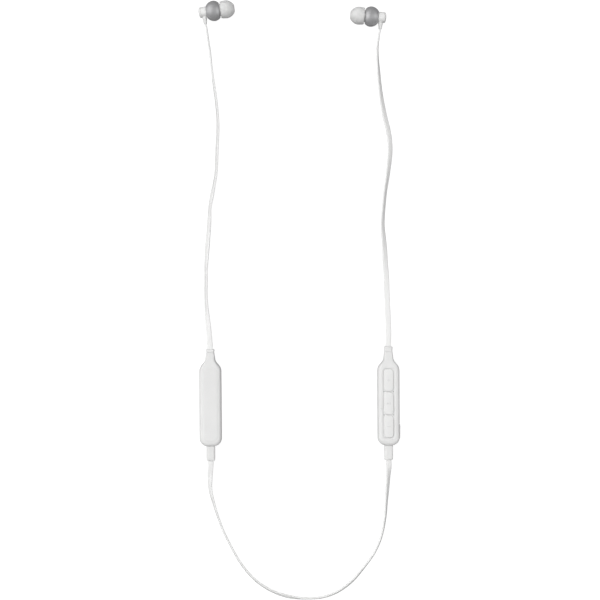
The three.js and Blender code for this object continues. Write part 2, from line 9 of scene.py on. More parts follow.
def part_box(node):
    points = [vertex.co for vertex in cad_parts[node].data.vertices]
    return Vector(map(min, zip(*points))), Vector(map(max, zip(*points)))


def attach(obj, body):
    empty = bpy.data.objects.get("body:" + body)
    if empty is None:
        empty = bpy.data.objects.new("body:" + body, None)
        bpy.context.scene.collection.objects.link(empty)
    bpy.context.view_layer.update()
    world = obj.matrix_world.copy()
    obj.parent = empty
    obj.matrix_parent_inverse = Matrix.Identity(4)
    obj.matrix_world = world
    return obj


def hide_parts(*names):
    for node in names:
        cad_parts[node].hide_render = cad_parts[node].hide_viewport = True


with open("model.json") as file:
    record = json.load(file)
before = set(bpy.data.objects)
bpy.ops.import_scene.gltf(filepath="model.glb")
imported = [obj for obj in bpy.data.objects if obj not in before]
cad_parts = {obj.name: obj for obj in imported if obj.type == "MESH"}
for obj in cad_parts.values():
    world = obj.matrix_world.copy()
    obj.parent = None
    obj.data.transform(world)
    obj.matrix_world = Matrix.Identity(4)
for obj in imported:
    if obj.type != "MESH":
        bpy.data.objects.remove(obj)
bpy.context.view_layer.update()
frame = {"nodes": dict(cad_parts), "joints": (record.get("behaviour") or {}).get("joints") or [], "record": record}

# Shapes are drawn in millimetres, in the frame of their own earbud or pod,
# and a place matrix carries each of them into the object's frame in metres.
MM = 0.001
UP = Vector((0, 0, 1))

# ---------------- camera

VIEW_SPAN = 0.384
VIEW_HEIGHT = 1.0
VIEW_CENTRE = (0.00065, -0.044)


def new_object(name, data):
    thing = bpy.data.objects.new(name, data)
    bpy.context.scene.collection.objects.link(thing)
    return thing


def make_camera():
    data = bpy.data.cameras.new("camera")
    data.sensor_width = 36
    data.lens = data.sensor_width * VIEW_HEIGHT / VIEW_SPAN
    data.clip_end = 10
    camera = new_object("camera", data)
    camera.location = (*VIEW_CENTRE, VIEW_HEIGHT)
    bpy.context.scene.camera = camera


make_camera()

# ---------------- material building blocks


def node_material(name):
    material = bpy.data.materials.new(name)
    material.use_nodes = True
    tree = material.node_tree
    return material, tree, tree.nodes["Principled BSDF"]


def fill(tree, node, inputs):
    """Sets a node's inputs: another node's output is linked, anything else is its value."""
    for name, value in inputs.items():
        if isinstance(value, bpy.types.NodeSocket):
            tree.links.new(value, node.inputs[name])
        else:
            node.inputs[name].default_value = value


def add(tree, kind, inputs=None, **settings):
    node = tree.nodes.new(kind)
    for key, value in settings.items():
        setattr(node, key, value)
    fill(tree, node, inputs or {})
    return node


def object_point(tree):
    return add(tree, "ShaderNodeTexCoord").outputs["Object"]


def noise(tree, scale, detail=3.0, stretch=None):
    """A noise value over the surface; scale is in features per metre."""
    point = object_point(tree)
    if stretch:
        mapping = add(tree, "ShaderNodeMapping", {"Scale": stretch, "Vector": point})
        point = mapping.outputs["Vector"]
    inputs = {"Scale": scale, "Detail": detail, "Vector": point}
    return add(tree, "ShaderNodeTexNoise", inputs).outputs["Fac"]


def spread(tree, value, low, high, start=0.35, end=0.65):
    """Maps a noise value onto a range of numbers."""
    inputs = {"Value": value, "From Min": start, "From Max": end, "To Min": low, "To Max": high}
    return add(tree, "ShaderNodeMapRange", inputs).outputs["Result"]


def two_tone(tree, value, dark, light):
    """A colour that drifts between two close tones."""
    ramp = add(tree, "ShaderNodeValToRGB", {"Fac": value})
    for element, place, tone in zip(ramp.color_ramp.elements, (0.3, 0.7), (dark, light)):
        element.position = place
        element.color = (*tone, 1)
    return ramp.outputs["Color"]


def bump(tree, shader, heights):
    """Chains bump nodes: heights is a list of (value, strength, distance in metres)."""
    previous = {}
    for value, strength, distance in heights:
        inputs = {"Strength": strength, "Distance": distance, "Height": value, **previous}
        previous = {"Normal": add(tree, "ShaderNodeBump", inputs).outputs["Normal"]}
    fill(tree, shader, previous)


def edge_tint(tree, colour, worn, amount):
    """Lets raised edges polish a little: pointiness picks them out."""
    point = add(tree, "ShaderNodeNewGeometry").outputs["Pointiness"]
    share = spread(tree, point, 0, amount, 0.5, 0.6)
    inputs = {"Factor": share, "A": colour, "B": (*worn, 1)}
    return add(tree, "ShaderNodeMix", inputs, data_type="RGBA").outputs["Result"]


def shifted(tone, amount):
    return tuple(min(max(c + amount, 0.0), 1.0) for c in tone)


def moulded(name, tone, roughness, texture_um=6, subsurface=0.0, drift=0.02):
    """Moulded plastic or rubber: a spark-eroded skin, slow colour drift and polished edges."""
    material, tree, shader = node_material(name)
    colour = two_tone(tree, noise(tree, 90, 4), shifted(tone, -drift), tone)
    fill(tree, shader, {
        "Base Color": edge_tint(tree, colour, shifted(tone, drift), 0.6),
        "Roughness": spread(tree, noise(tree, 260, 5), roughness - 0.05, roughness + 0.06),
        "Subsurface Weight": subsurface,
        "Subsurface Radius": (1.0, 1.0, 1.0),
        "Subsurface Scale": 0.6 * MM,
        "IOR": 1.47,
    })
    bump(tree, shader, [
        (noise(tree, 5200, 2), 0.35, texture_um * 1e-6),
        (noise(tree, 700, 3), 0.25, texture_um * 1e-6),
    ])
    return material


def silicone(name):
    """Milky translucent silicone with a faint bloom and a fine mould grain."""
    material, tree, shader = node_material(name)
    fill(tree, shader, {
        "Base Color": two_tone(tree, noise(tree, 180, 4), (0.70, 0.70, 0.695), (0.78, 0.78, 0.775)),
        "Roughness": spread(tree, noise(tree, 420, 5), 0.30, 0.44),
        "Transmission Weight": 0.15,
        "Subsurface Weight": 0.5,
        "Subsurface Radius": (1.0, 1.0, 1.0),
        "Subsurface Scale": 1.2 * MM,
        "IOR": 1.41,
    })
    bump(tree, shader, [
        (noise(tree, 3600, 3), 0.3, 6e-6),
        (noise(tree, 500, 2), 0.3, 20e-6),
    ])
    return material


def metal(name, tone, roughness, grain=(1, 1, 1), grain_um=3, metallic=1.0, drift=0.05):
    """Metal with a fine directional grain, drawn out along the small numbers in grain."""
    material, tree, shader = node_material(name)
    colour = two_tone(tree, noise(tree, 300, 4, grain), shifted(tone, -drift), tone)
    rough = noise(tree, 900, 4, grain)
    fill(tree, shader, {
        "Base Color": edge_tint(tree, colour, shifted(tone, drift), 0.8),
        "Roughness": spread(tree, rough, roughness - 0.06, roughness + 0.08),
        "Metallic": metallic,
    })
    bump(tree, shader, [
        (noise(tree, 6000, 3, grain), 0.4, grain_um * 1e-6),
        (noise(tree, 1100, 2), 0.15, grain_um * 1e-6),
    ])
    return material


def circuit_mask(name):
    """Solder mask: dark green lacquer over etched tracks and a copper glow."""
    material, tree, shader = node_material(name)
    brick = add(tree, "ShaderNodeTexBrick", {
        "Scale": 700,
        "Mortar Size": 0.03,
        "Color1": (0.020, 0.125, 0.060, 1),
        "Color2": (0.028, 0.160, 0.075, 1),
        "Mortar": (0.055, 0.235, 0.110, 1),
        "Vector": object_point(tree),
    })
    fill(tree, shader, {
        "Base Color": brick.outputs["Color"],
        "Roughness": spread(tree, noise(tree, 500), 0.25, 0.45),
    })
    bump(tree, shader, [(brick.outputs["Fac"], 0.5, 20e-6)])
    return material


WHITE = (0.70, 0.70, 0.695)
MATERIALS = {
    "shell": moulded("shell_plastic", WHITE, 0.38, texture_um=5, subsurface=0.08),
    "key": moulded("key_plastic", (0.715, 0.715, 0.71), 0.42, texture_um=7, subsurface=0.08),
    "bud_shell": moulded("bud_plastic", (0.76, 0.76, 0.755), 0.30, texture_um=3, subsurface=0.1),
    "cable": moulded("cable_rubber", (0.755, 0.755, 0.75), 0.55, texture_um=9, subsurface=0.15),
    "relief": moulded("relief_rubber", (0.69, 0.69, 0.685), 0.55, texture_um=9, subsurface=0.15),
    "door": moulded("door_rubber", (0.62, 0.62, 0.615), 0.55, texture_um=9, subsurface=0.1),
    "tip": silicone("tip_silicone"),
    "barrel": metal("barrel_metal", (0.59, 0.59, 0.60), 0.48, metallic=0.75),
    "steel": metal("spring_steel", (0.62, 0.63, 0.64), 0.27, grain=(1, 0.1, 1)),
    "screen": metal("screen_wire", (0.55, 0.56, 0.57), 0.30),
    "copper": metal("copper_wire", (0.72, 0.38, 0.22), 0.30, grain=(0.1, 1, 1)),
    "pouch": metal("cell_foil", (0.68, 0.69, 0.71), 0.36, grain_um=14, drift=0.08),
    "film": moulded("diaphragm_film", (0.70, 0.64, 0.52), 0.22, texture_um=2),
    "black": moulded("black_resin", (0.022, 0.022, 0.024), 0.45, drift=0.008),
    "foam": moulded("foam_pad", (0.055, 0.055, 0.06), 0.9, texture_um=60, drift=0.02),
    "clear": moulded("clear_resin", (0.88, 0.89, 0.88), 0.16, texture_um=2, subsurface=0.4),
    # The symbols are embossed in the key's own white plastic; their grey tone is painted shade, standing in for
    # the shade along their raised strokes.
    "symbol": moulded("symbol_painted_shade", (0.58, 0.58, 0.58), 0.5, texture_um=3),
    "board": circuit_mask("solder_mask"),
}

# Which of the looks above each of the record's slots takes on the CAD nodes that stay.
SLOT_LOOKS = {
    "white_plastic": "shell",
    "white_cable": "cable",
    "white_relief": "relief",
    "tip_silicone": "tip",
    "barrel_metal": "barrel",
    "steel": "steel",
    "black_plastic": "black",
    "coil_wire": "copper",
    "film": "film",
    "board_mask": "board",
    "cell_pouch": "pouch",
    "foam": "foam",
    "clear_plastic": "clear",
}


def paint_cad_nodes():
    for part in frame["record"]["subparts"]:
        node = frame["nodes"][part["node"]]
        node.data.materials.clear()
        node.data.materials.append(MATERIALS[SLOT_LOOKS[part["material_slot"]]])


paint_cad_nodes()

# ---------------- making pieces


# An edge that turns by more degrees than this stays crisp.
SHARP_ANGLE = 38


def closed_mesh(name, shape, weld=0.0):
    """A mesh with its faces turned outwards and its points welded within a distance."""
    mesh = bpy.data.meshes.new(name)
    mesh.from_pydata(shape[0], [], shape[1])
    clean = bmesh.new()
    clean.from_mesh(mesh)
    if weld:
        bmesh.ops.remove_doubles(clean, verts=clean.verts, dist=weld)
    bmesh.ops.recalc_face_normals(clean, faces=clean.faces)
    clean.to_mesh(mesh)
    clean.free()
    return mesh


def placed(shape, place):
    points, faces = shape
    return [place @ Vector(p) for p in points], faces


def make_piece(name, shape, look, body, place, replaces=(), sharp=SHARP_ANGLE):
    """A finished piece from (points, faces), with its material, body and CAD nodes."""
    piece = new_object(name, closed_mesh(name, placed(shape, place), weld=2e-7))
    piece.data.materials.append(MATERIALS[look])
    smooth(piece.data, sharp)
    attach(piece, body)
    if replaces:
        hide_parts(*replaces)
    return piece


def smooth(mesh, sharp=SHARP_ANGLE):
    mesh.shade_smooth()
    mesh.set_sharp_from_angle(angle=math.radians(sharp))


def loft(rings, capped=True, ring=False):
    """Quads between rings of equal count; closes the ends with caps or joins last to first."""
    count = len(rings[0])
    points = [p for r in rings for p in r]
    faces = []
    for i in range(len(rings) if ring else len(rings) - 1):
        a = i * count
        b = ((i + 1) % len(rings)) * count
        for j in range(count):
            k = (j + 1) % count
            faces.append((a + j, a + k, b + k, b + j))
    if capped and not ring:
        faces.append(tuple(range(count)))
        faces.append(tuple(range(len(points) - 1, len(points) - 1 - count, -1)))
    return points, faces


def joined(*shapes):
    """Several closed shapes as one set of points and faces."""
    points = []
    faces = []
    for shape_points, shape_faces in shapes:
        base = len(points)
        points.extend(shape_points)
        faces.extend(tuple(base + i for i in face) for face in shape_faces)
    return points, faces


def circle(count, start=0.0):
    """The cosine and sine at even steps round a circle."""
    turns = (2 * math.pi * (j + start) / count for j in range(count))
    return [(math.cos(t), math.sin(t)) for t in turns]


def filleted(corners, closed=True, steps=4):
    """A polyline whose corners (a, b, radius) are rounded."""
    count = len(corners)
    out = []
    for i, (a, b, radius) in enumerate(corners):
        here = Vector((a, b))
        if radius <= 0 or (not closed and i in (0, count - 1)):
            out.append(here)
            continue
        before = Vector(corners[i - 1][:2])
        after = Vector(corners[(i + 1) % count][:2])
        reach = min((before - here).length, (after - here).length) * 0.48
        turn = (before - here).angle(after - here)
        cut = min(radius / math.tan(turn / 2), reach) if turn < 3.1 else 0
        start = here + (before - here).normalized() * cut
        end = here + (after - here).normalized() * cut
        for k in range(steps + 1):
            t = k / steps
            out.append(start * (1 - t) ** 2 + here * 2 * t * (1 - t) + end * t ** 2)
    return out


def flowing(points, steps=6):
    """Profile corners on one smooth curve through the points (Catmull-Rom)."""
    out = []
    for i in range(len(points) - 1):
        quad = [points[min(max(i + n, 0), len(points) - 1)] for n in (-1, 0, 1, 2)]
        for k in range(steps):
            t = k / steps
            axial, radial = (
                b + t / 2 * (c - a + t * (2 * a - 5 * b + 4 * c - d + t * (3 * b - a - 3 * c + d)))
                for a, b, c, d in zip(*quad)
            )
            out.append((axial, radial, 0))
    return [*out, (*points[-1], 0)]


def turned(corners, sides=72, steps=4):
    """A profile of (axial, radial, corner radius) turned about the local X axis."""
    on_axis = corners[0][1] == 0
    profile = filleted(corners, closed=not on_axis, steps=steps)
    rings = [[(axial, radial * c, radial * s) for c, s in circle(sides)]
             for axial, radial in profile]
    return loft(rings, capped=False, ring=not on_axis)


def superellipse(half_a, half_b, power, count=48):
    """Points round a rounded rectangle, from (half_a, 0) anticlockwise."""
    return [
        (half_a * math.copysign(abs(c) ** (2 / power), c),
         half_b * math.copysign(abs(s) ** (2 / power), s))
        for c, s in circle(count)
    ]


def mix(a, b, t):
    return a + (b - a) * t


def ease(t):
    t = min(max(t, 0.0), 1.0)
    return t * t * (3 - 2 * t)


def boolean_cut(piece, cutter):
    """Cuts the piece by a closed shape in the object's frame, and leaves no modifier behind."""
    tool = new_object("cutter", closed_mesh("cutter", cutter))
    modifier = piece.modifiers.new("cut", "BOOLEAN")
    modifier.operation = "DIFFERENCE"
    modifier.solver = "EXACT"
    modifier.object = tool
    bpy.context.view_layer.update()
    graph = bpy.context.evaluated_depsgraph_get()
    result = bpy.data.meshes.new_from_object(piece.evaluated_get(graph))
    piece.modifiers.clear()
    piece.data = result
    bpy.data.objects.remove(tool)


# ---------------- flat cables

CABLE_HALF_WIDTH = 1.7
CABLE_HALF_THICKNESS = 0.58
CABLE_STEP = 0.0014

# The routes of the CAD solids: x, y, z in millimetres and the roll in degrees,
# 0 lying flat and 90 standing on edge.
LEFT_LEAD = [
    (-59.45, 131.45, 6.4, 90), (-58.95, 129.6, 6.2, 90), (-57.75, 121.4, 4.3, 90),
    (-56.75, 114, 2.6, 90), (-56, 106.5, 1.8, 88), (-55.05, 98.8, 1.76, 84),
    (-54.05, 91.1, 1.74, 72), (-53, 83.5, 1.73, 70), (-52.2, 75.8, 1.73, 70),
    (-51.8, 68.1, 1.7, 67), (-51.95, 60.5, 1.68, 64), (-52.4, 52.8, 1.67, 63),
    (-52.6, 45.1, 1.68, 64), (-53, 37.5, 1.68, 64), (-54.2, 29.8, 1.66, 62),
    (-55.7, 22.1, 1.5, 50), (-56.95, 14.5, 1.66, 62), (-57.3, 6.8, 1.48, 48),
    (-57.8, -0.9, 1.42, 45), (-58.4, -8.5, 1.4, 42), (-59, -16.2, 1.42, 45),
    (-59.35, -23.9, 1.62, 58), (-59.35, -31.5, 1.64, 60), (-59.45, -39.2, 1.64, 60),
    (-59.2, -46.9, 1.58, 55), (-58.55, -54.5, 1.4, 38), (-57.75, -62.2, 2.3, 15),
    (-56.95, -69.5, 3.75, 0), (-56.66, -75, 4.15, 0),
]
RIGHT_LEAD = [
    (51.57, 127.85, 6.4, -90), (50.95, 124, 5.4, -88), (50.1, 117.7, 3.4, -80),
    (50.2, 110.2, 2.1, -72), (50.8, 102.6, 1.75, -62), (51.5, 95, 1.62, -56),
    (52.4, 87.3, 1.52, -50), (53.7, 79.6, 1.42, -42), (55.2, 72, 1.33, -35),
    (57.1, 64.3, 1.3, -32), (58.15, 56.6, 1.3, -32), (58.2, 49, 1.33, -35),
    (57.4, 41.3, 1.42, -42), (56.4, 33.6, 1.52, -50), (55.2, 26, 1.58, -54),
    (54.4, 18.3, 1.6, -55), (53.75, 10.6, 1.55, -52), (53.5, 3, 1.5, -48),
    (54.2, -4.7, 1.38, -38), (54.85, -12.4, 1.26, -30), (55.2, -20, 1.1, -20),
    (55.85, -27.7, 0.9, -10), (56.2, -38, 0.7, 0), (56.6, -48, 0.7, 0),
    (57, -57, 1.4, 0), (57.1, -65, 3.1, 0), (57, -70.2, 3.95, 0),
    (56.86, -73.2, 4.15, 0),
]
NECK_CORD = [
    (-56.04, -146.7, 4.15, 0), (-56.2, -150.3, 3.9, 0), (-56.6, -154.4, 3, 5),
    (-56.85, -159.3, 2, 35), (-56.7, -164.4, 1.5, 50), (-55.7, -169.6, 1.65, 60),
    (-54.2, -174.7, 1.73, 70), (-51.9, -182.1, 1.76, 78), (-47.9, -192.4, 1.76, 80),
    (-43, -202.2, 1.76, 80), (-37.2, -212.2, 1.75, 75), (-28.6, -222.3, 1.7, 68),
    (-18.3, -229.4, 1.66, 62), (-7.4, -233.3, 1.55, 52), (4.65, -234.7, 1.75, 75),
    (16, -233.7, 1.73, 70), (25.2, -230.1, 1.7, 66), (33.7, -223.8, 1.68, 65),
    (41.6, -214.7, 1.73, 72), (48.2, -205.5, 1.75, 76), (52.5, -195.6, 1.75, 76),
    (54.95, -183.6, 1.74, 72), (55.9, -172, 1.66, 64), (56.65, -163, 1.5, 50),
    (57.1, -156, 2.2, 45), (57.4, -150.3, 3.6, 15), (57.24, -146.1, 4.15, 0),
]
# How far each cable's end runs on inside the mouth of its strain relief.
CABLE_TUCK = 0.0013


def smooth_route(stations):
    """A centripetal Catmull-Rom curve through the stations: close 4D points, metres and roll."""
    knots = [Vector((x * MM, y * MM, z * MM, roll)) for x, y, z, roll in stations]
    knots.insert(0, knots[0] * 2 - knots[1])
    knots.append(knots[-1] * 2 - knots[-2])
    fine = []
    for i in range(1, len(knots) - 2):
        quad = knots[i - 1:i + 3]
        times = [0.0]
        for a, b in zip(quad, quad[1:]):
            times.append(times[-1] + math.sqrt((b.xyz - a.xyz).length))
        for k in range(24):
            t = mix(times[1], times[2], k / 24)
            row = quad
            for level in (1, 2):
                row = [
                    row[n] * ((times[n + level] - t) / (times[n + level] - times[n]))
                    + row[n + 1] * ((t - times[n]) / (times[n + level] - times[n]))
                    for n in range(len(row) - 1)
                ]
            blend = (t - times[1]) / (times[2] - times[1])
            fine.append(row[0] * (1 - blend) + row[1] * blend)
    fine.append(knots[-2])
    return fine


def evenly(fine, step):
    """Resamples a line of 4D points at even distance."""
    lengths = [0.0]
    for a, b in zip(fine, fine[1:]):
        lengths.append(lengths[-1] + (b.xyz - a.xyz).length)
    count = max(2, round(lengths[-1] / step))
    out = []
    place = 0
    for i in range(count + 1):
        target = lengths[-1] * i / count
        while place < len(fine) - 2 and lengths[place + 1] < target:
            place += 1
        share = (target - lengths[place]) / (lengths[place + 1] - lengths[place])
        out.append(fine[place].lerp(fine[place + 1], share))
    return out, lengths[-1]


def tucked(fine):
    """The line with a straight run added at each end, into the strain reliefs."""
    first = (fine[0].xyz - fine[1].xyz).normalized() * CABLE_TUCK
    last = (fine[-1].xyz - fine[-2].xyz).normalized() * CABLE_TUCK
    head = Vector((*(fine[0].xyz + first), fine[0].w))
    tail = Vector((*(fine[-1].xyz + last), fine[-1].w))
    return [head, *fine, tail]


def make_cable(name, stations, node):
    """A flat cable: a rounded strip that follows its route and rolls as the route says."""
    line, length = evenly(tucked(smooth_route(stations)), CABLE_STEP)
    section = superellipse(CABLE_HALF_WIDTH, CABLE_HALF_THICKNESS, 3.4, 28)
    # A shallow channel runs down the middle of both flat sides, between the two cores.
    section = [(a, b * (1 - 0.07 * math.exp(-(a / 0.35) ** 2))) for a, b in section]
    rings = []
    for i, station in enumerate(line):
        ahead = line[min(i + 1, len(line) - 1)].xyz
        behind = line[max(i - 1, 0)].xyz
        tangent = (ahead - behind).normalized()
        across = UP.cross(tangent).normalized()
        across.rotate(Matrix.Rotation(math.radians(station.w), 3, tangent))
        over = tangent.cross(across)
        rings.append([station.xyz + across * a * MM + over * b * MM for a, b in section])
    piece = make_piece(name, loft(rings), "cable", "frame",
                       Matrix.Identity(4), [node], sharp=50)


make_cable("left_flat_lead", LEFT_LEAD, "left_lead")
make_cable("right_flat_lead", RIGHT_LEAD, "right_lead")
make_cable("neck_flat_cord", NECK_CORD, "neck_cord")

# ---------------- where each assembly lies


def middle(node):
    low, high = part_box(node)
    return (low + high) / 2


def joint_axis(name):
    return Vector(next(j for j in frame["joints"] if j["name"] == name)["axis"]).normalized()


# The magnet's middle lies this far ahead of the barrel's middle, along the earbud's axis.
MAGNET_MIDDLE = 1.1


def bud_place(side):
    axis = joint_axis(f"{side}_tip_pull")
    across = Vector((-axis.y, axis.x, 0)) * math.copysign(1, axis.x)
    centre = middle(f"{side}_driver_magnet") - axis * MAGNET_MIDDLE * MM
    turn = Matrix((axis, across, axis.cross(across))).transposed().to_4x4()
    return Matrix.Translation(centre) @ turn @ Matrix.Scale(MM, 4)


def pod_place(prefix, mount):
    """A pod's frame: its back's mount gives the middle, its two strain reliefs the tilt."""
    along = middle(f"{prefix}_upper_relief") - middle(f"{prefix}_lower_relief")
    tilt = math.atan2(-along.x, along.y)
    point = next(m for m in frame["record"]["mounts"] if m["name"] == mount)["pos_m"]
    return Matrix.Translation(point) @ Matrix.Rotation(tilt, 4, "Z") @ Matrix.Scale(MM, 4)


# ---------------- earbuds

BARREL_RADIUS = 6.4
BARREL_REAR = -4.8
BARREL_FRONT = 3.6
REAR_RADIUS = 3.4
BUD_RELIEF_X = -6.4


def barrel_radius(axial):
    reach = 5.85 if axial < 0 else 5.3
    return BARREL_RADIUS * math.sqrt(1 - (axial / reach) ** 2)


def barrel_shape():
    """A spun shell, drawn in at both ends, with a narrow hole for the rear housing."""
    outer = [(BARREL_REAR, 3.55, 0.12)]
    for step in range(49):
        axial = mix(-4.62, 3.42, step / 48)
        outer.append((axial, barrel_radius(axial), 0))
    outer += [(BARREL_FRONT - 0.02, 4.7, 0.08), (BARREL_FRONT, 4.55, 0.05)]
    inner = [
        (BARREL_FRONT, 4.24, 0.06), (2.8, 4.93, 0.3), (1.4, 5.67, 0.3), (0.0, 5.9, 0.3),
        (-2.4, 5.34, 0.3), (-4.2, 3.96, 0.2), (-4.2, 2.95, 0.1), (BARREL_REAR, 2.95, 0.06),
    ]
    return turned(outer + inner, sides=120, steps=3)


def nozzle_shape():
    return turned([
        (3.0, 3.9, 0.1), (3.6, 3.9, 0.03), (3.7, 3.7, 0.06), (4.3, 3.7, 0.08),
        (4.5, 3.7, 0.1), (6.15, 2.32, 0.35), (9.05, 2.3, 0.1), (9.3, 2.5, 0.12),
        (9.6, 2.5, 0.15), (10.0, 2.25, 0.12), (10.0, 1.75, 0.08), (9.75, 1.7, 0.05),
        (6.0, 1.7, 0.3), (4.2, 3.3, 0.3), (3.0, 3.3, 0.1),
    ], sides=96)


def tip_shape():
    """Mushroom tip: the dome folds back over its own tube, thin at the skirt's edge."""
    dome = flowing([
        (13.08, 2.15), (12.75, 2.8), (12.2, 3.5), (11.4, 4.22), (10.4, 4.92), (9.3, 5.38),
        (8.2, 5.58), (7.1, 5.59), (5.7, 5.48), (4.5, 5.27),
    ])
    return turned([
        (6.5, 2.8, 0.12), (10.6, 2.78, 0.5), (12.2, 1.62, 0.5), (13.02, 1.6, 0.15),
        (13.2, 1.82, 0.1), *dome, (4.2, 5.02, 0.12), (4.24, 4.82, 0.1), (5.5, 5.0, 0.5),
        (8.2, 5.13, 1.2), (9.8, 4.6, 1.0), (10.75, 3.9, 0.5), (10.6, 3.5, 0.4),
        (9.5, 3.45, 0.4), (6.5, 3.45, 0.12),
    ], sides=120, steps=5)


def screen_shape():
    """A woven wire disc: two layers of fine wires clipped to a circle, in a pressed ring."""
    shapes = [turned([(9.25, 1.35, 0.03), (9.25, 1.62, 0.05), (9.6, 1.62, 0.05),
                      (9.6, 1.35, 0.03)], sides=48, steps=2)]
    pitch = 0.21
    wire = 0.05
    for layer, axial in ((0, 9.38), (1, 9.46)):
        for n in range(-6, 7):
            offset = n * pitch
            half = math.sqrt(max(1.42 ** 2 - offset ** 2, 0))
            if half < 0.2:
                continue
            rings = []
            for end in range(-8, 9):
                along = half * end / 8
                wave = 0.03 * math.cos(math.pi * (along / pitch + n + layer))
                ring = [(axial + wave + wire * c, offset + wire * s) for c, s in circle(6)]
                rings.append([(u, v, along) if layer else (u, along, v) for u, v in ring])
            shapes.append(loft(rings))
    return joined(*shapes)


def rear_housing_shape():
    return turned([
        (-3.8, 2.1, 0.1), (-3.8, 2.65, 0.12), (-4.86, 2.65, 0.05), (-4.86, 3.2, 0.1),
        (-5.05, REAR_RADIUS, 0.15), (-7.9, REAR_RADIUS, 0.1), (-8.32, 3.35, 0.1),
        (-8.32, 2.1, 0.05),
    ], sides=96)


def rear_cap_shape():
    """The closing cap: a groove shows where it meets the housing, and its end is domed."""
    return turned([
        (-7.95, 0, 0), (-7.95, 1.85, 0.1), (-8.4, 1.85, 0.03), (-8.4, 3.3, 0.08),
        *flowing([(-8.75, 3.36), (-9.1, 3.1), (-9.45, 2.4), (-9.68, 1.25), (-9.75, 0)]),
    ], sides=96)


def bud_relief_shape():
    """A tapered boot that hugs the housing's side and ends in a mouth round the flat lead."""
    stations = [
        (-2.75, 0.75, 1.15, 4), (-3.4, 0.78, 1.2, 4), (-3.46, 1.3, 1.75, 3.0),
        (-3.8, 1.45, 1.88, 2.8), (-4.4, 1.36, 1.9, 2.8), (-5.3, 1.2, 1.89, 2.8),
        (-6.2, 1.08, 1.88, 3.0), (-6.9, 1.0, 1.87, 3.2), (-7.2, 0.95, 1.86, 3.2),
        (-7.3, 0.85, 1.83, 3.2), (-7.22, 0.7, 1.78, 3.2), (-6.0, 0.68, 1.76, 3.2),
    ]
    rings = []
    for y, half_x, half_z, power in stations:
        ring = []
        for a, b in superellipse(half_x, half_z, power, 40):
            hug = 0.0
            if -3.85 < y < -3.42:
                hug = REAR_RADIUS - math.sqrt(REAR_RADIUS ** 2 - b * b)
            ring.append((BUD_RELIEF_X + a, y + hug, b))
        rings.append(ring)
    return loft(rings)


def relief_slot():
    """The hole in the rear housing's side that the boot's stem goes through."""
    rings = []
    for y in (-5.0, -1.0):
        rings.append([(BUD_RELIEF_X + a, y, b) for a, b in superellipse(0.95, 1.4, 4, 32)])
    return loft(rings)


def magnet_shape():
    return joined(
        turned([(0.5, 0, 0), (0.5, 2.9, 0.15), (1.25, 2.9, 0.08), (1.25, 0, 0)]),
        turned([(1.3, 0, 0), (1.3, 2.75, 0.08), (1.7, 2.75, 0.1), (1.7, 0, 0)]),
    )


def make_earbud(side):
    place = bud_place(side)
    coil = f"{side}_moving_coil"

    def piece(name, shape, look, slot, node, body="frame"):
        return make_piece(f"{side}_{name}", shape, look, body, place, [f"{side}_{node}"])

    piece("barrel_shell", barrel_shape(), "barrel", "barrel_metal", "barrel")
    piece("nozzle", nozzle_shape(), "bud_shell", "white_plastic", "nozzle_cap")
    piece("wire_screen", screen_shape(), "screen", "steel", "nozzle_screen")
    piece("soft_tip", tip_shape(), "tip", "tip_silicone", "ear_tip", f"{side}_tip")
    housing = piece("rear_tube", rear_housing_shape(), "bud_shell", "white_plastic",
                    "rear_housing")
    boolean_cut(housing, placed(relief_slot(), place))
    smooth(housing.data)
    piece("end_cap", rear_cap_shape(), "bud_shell", "white_plastic", "rear_cap")
    piece("lead_boot", bud_relief_shape(), "relief", "white_relief", "bud_relief")
    piece("magnet_stack", magnet_shape(), "steel", "steel", "driver_magnet")
    piece("speaker_basket", turned([
        (-0.3, 1.0, 0.1), (0.2, 1.0, 0.1), (0.2, 4.1, 0.3), (2.7, 4.1, 0.1),
        (2.7, 4.6, 0.1), (-0.3, 4.6, 0.5),
    ]), "steel", "steel", "driver_basket")
    piece("coil_winding", coil_shape(), "copper", "coil_wire", "voice_coil", coil)
    piece("cone_film", diaphragm_shape(), "film", "film", "diaphragm", coil)


def coil_shape():
    """A wound ring: each turn of wire stands out a little."""
    turns = 11
    outside = []
    for n in range(turns):
        axial = 0.85 + n * 0.1
        outside += [(axial - 0.045, 3.46, 0), (axial, 3.5, 0), (axial + 0.045, 3.46, 0)]
    return turned([(0.8, 3.22, 0.02), *outside, (1.9, 3.22, 0.02)][::-1], steps=1)


def diaphragm_shape():
    """A thin domed film with a rolled surround."""
    upper = []
    lower = []
    for n in range(17):
        radial = 3.8 * n / 16
        roll = 0.14 * math.sin(math.pi * (radial - 3.2) / 0.6) if radial > 3.2 else 0
        dome = 0.38 * (1 - (radial / 3.2) ** 2) if radial < 3.2 else 0
        upper.append((2.33 + dome + max(roll, 0), radial, 0))
        lower.append((2.24 + dome + max(roll, 0), radial, 0))
    return turned([*upper, *lower[::-1]], steps=1)


make_earbud("left")
make_earbud("right")

# ---------------- pods

POD_HALF_WIDTH = 7.05
POD_HALF_LENGTH = 26.5
POD_THICKNESS = 8.4
POD_SPLIT = 4.15
POD_SEAM = 0.05
POD_WALL = 1.0
WALL_SHARE = POD_WALL / POD_HALF_WIDTH
# A face that closes over the spine is drawn in by this share at its last ring.
NEARLY_CLOSED = 0.985
POD_BOTTOM_RADIUS = 5.1
SHOULDER_Y = 20.8
NECK_ROOT = (3.1, 29.0)
NECK_HALF_WIDTH = 2.6
NECK_END = 33.2
CAVITY_TOP = 26.0
BATTERY_RELIEF_END = 35.3
REMOTE_RELIEF_END = 36.5
LOWER_RELIEF_END = 35.8
SPINE = POD_HALF_LENGTH - POD_HALF_WIDTH
# How far the rounded edges of the faces reach inwards and down.
FACE_EDGE = (2.0, 2.2)
BACK_EDGE = (1.8, 1.7)
BACK_Z = 0.02


